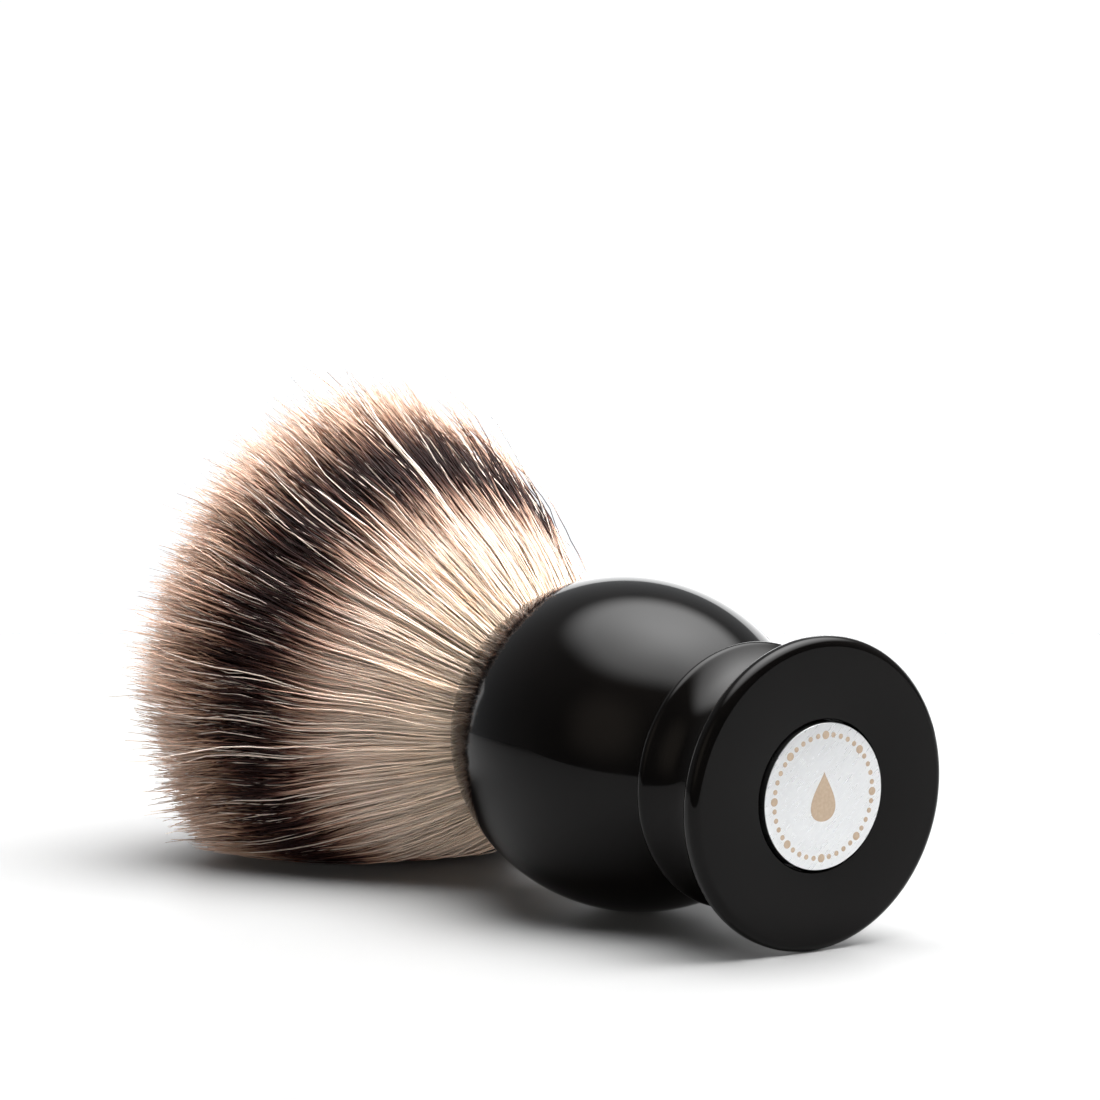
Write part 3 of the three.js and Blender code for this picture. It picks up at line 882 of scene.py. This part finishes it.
def glowing_panel(name, centre, half_width, half_height, strength, softness, mirrored=False,
                  colour=(1, 1, 1), falloff=0.0, square=False):
    """Panel facing the bulb that fades out towards its rounded edge.

    It is either soft light, or what the gloss mirrors. With falloff, it is brighter in its middle.
    """
    toward = (AXIS * BULB_HEIGHT - centre).normalized()
    overhead = abs(FLOOR_NORMAL.dot(toward)) > 0.75
    right = (FORWARD if overhead else FLOOR_NORMAL).cross(toward).normalized()
    panel = plane(name, centre, right, right.cross(toward), half_width, half_height)
    layer = panel.data.uv_layers.new(name="panel")
    for loop, place in zip(layer.data, ((-1, -1), (1, -1), (1, 1), (-1, 1))):
        loop.uv = place
    n = Nodes(name)
    place = n.add("ShaderNodeUVMap", uv_map="panel")
    split = n.add("ShaderNodeSeparateXYZ")
    n.link(place.outputs["UV"], split.inputs["Vector"])
    roundness = 12.0 if square else 2.5
    powers = [n.math("POWER", n.math("ABSOLUTE", split.outputs[axis]), roundness) for axis in "XY"]
    reach = n.math("POWER", n.math("ADD", *powers), 1 / roundness)
    fade = n.add("ShaderNodeMapRange", interpolation_type="SMOOTHSTEP")
    n.link(n.math("SUBTRACT", 1.0, reach), fade.inputs["Value"])
    fade.inputs["From Max"].default_value = softness
    dimming = n.math("MULTIPLY", n.math("MULTIPLY", reach, reach), falloff)
    middle = n.math("DIVIDE", strength, n.math("ADD", 1.0, dimming))
    emission = n.add("ShaderNodeEmission")
    emission.inputs["Color"].default_value = (*colour, 1)
    n.link(n.math("MULTIPLY", fade.outputs["Result"], middle), emission.inputs["Strength"])
    both = n.add("ShaderNodeAddShader")
    n.link(emission.outputs["Emission"], both.inputs[0])
    n.link(n.add("ShaderNodeBsdfTransparent").outputs["BSDF"], both.inputs[1])
    n.link(both.outputs["Shader"], n.tree.nodes["Material Output"].inputs["Surface"])
    panel.data.materials.append(n.material)
    panel.visible_camera = False
    panel.visible_shadow = False
    panel.visible_diffuse = not mirrored
    panel.visible_transmission = not mirrored
    panel.visible_glossy = mirrored


def make_light():
    """Large softbox overhead, a low bright backdrop behind the brush, a low fill and a dim light below.

    The gloss mirrors panels of its own, which stand near those that light the brush.
    """
    bulb = AXIS * BULB_HEIGHT
    height = 0.6
    softbox = bulb + seen_place(0.22, 1, 0.08) * height
    backdrop = bulb + seen_place(0, 0.18, 1.2)
    fill = bulb + seen_place(-0.3, 0.1, -0.7)
    below = bulb + seen_place(0, -0.45, 0.1)
    glowing_panel("softbox", softbox, 1.1 * height, 0.9 * height, strength=18.5, softness=0.7)
    glowing_panel("backdrop", backdrop, 1.6, 0.24, strength=4.0, softness=0.08, square=True)
    glowing_panel("fill", fill, 0.5, 0.14, strength=6.2, softness=0.5, colour=(1.0, 0.96, 0.92))
    glowing_panel("underlight", below, 0.35, 0.35, strength=2.0, softness=0.7)
    softbox = bulb + seen_place(0.14, 1, 0.07) * height
    room = bulb + seen_place(-0.55, 0.34, -0.66)
    glowing_panel("softbox_mirrored", softbox, 1.13 * height, 0.96 * height, strength=13.5, softness=0.45,
                  mirrored=True, falloff=4.0)
    glowing_panel("backdrop_mirrored", backdrop, 1.6, 0.24, strength=1.7, softness=0.08,
                  mirrored=True, square=True)
    glowing_panel("room_mirrored", room, 0.5, 0.5, strength=0.5, softness=0.8,
                  mirrored=True, colour=(1.0, 0.86, 0.7))


def make_surroundings():
    """Dim room, which the gloss mirrors brighter ahead of the camera, and a white background."""
    world = bpy.data.worlds.new("studio")
    bpy.context.scene.world = world
    world.use_nodes = True
    nodes, links = world.node_tree.nodes, world.node_tree.links
    background = nodes["Background"]
    background.inputs["Color"].default_value = (0.94, 0.97, 1.0, 1)
    place = nodes.new("ShaderNodeTexCoord")
    ahead = nodes.new("ShaderNodeVectorMath")
    ahead.operation = "DOT_PRODUCT"
    ahead.inputs[1].default_value = FORWARD
    links.new(place.outputs["Generated"], ahead.inputs[0])
    reflected = nodes.new("ShaderNodeMapRange")
    reflected.inputs["From Min"].default_value = -0.3
    reflected.inputs["From Max"].default_value = 0.95
    reflected.inputs["To Min"].default_value = 0.13
    reflected.inputs["To Max"].default_value = 0.42
    links.new(ahead.outputs["Value"], reflected.inputs["Value"])
    ray = nodes.new("ShaderNodeLightPath")
    glossy = nodes.new("ShaderNodeMix")
    glossy.inputs["A"].default_value = 0.05
    links.new(reflected.outputs["Result"], glossy.inputs["B"])
    links.new(ray.outputs["Is Glossy Ray"], glossy.inputs["Factor"])
    seen = nodes.new("ShaderNodeMix")
    seen.inputs["B"].default_value = 1.1
    links.new(glossy.outputs["Result"], seen.inputs["A"])
    links.new(ray.outputs["Is Camera Ray"], seen.inputs["Factor"])
    links.new(seen.outputs["Result"], background.inputs["Strength"])


def make_camera():
    data = bpy.data.cameras.new("camera")
    data.sensor_width = SENSOR
    data.lens = FOCAL_LENGTH
    data.clip_start, data.clip_end = 0.01, 50
    camera = bpy.data.objects.new("camera", data)
    view = FORWARD * math.cos(PITCH) - FLOOR_NORMAL * math.sin(PITCH)
    up = RIGHT.cross(view)
    foot = AXIS * FOOT_FACE
    camera.location = foot - view * CAMERA_DISTANCE
    camera.location += up * FOOT_BELOW_CENTRE - RIGHT * FOOT_RIGHT_OF_CENTRE
    camera.rotation_mode = "QUATERNION"
    camera.rotation_quaternion = Matrix((RIGHT, up, -view)).transposed().to_quaternion()
    bpy.context.scene.collection.objects.link(camera)
    bpy.context.scene.camera = camera


bpy.context.scene.view_settings.view_transform = "Standard"
make_handle()
make_medallion()
make_print()
make_collar()
make_insert()
make_seal()
paint_inner_pieces()
make_tuft()
make_floors()
make_light()
make_surroundings()
make_camera()
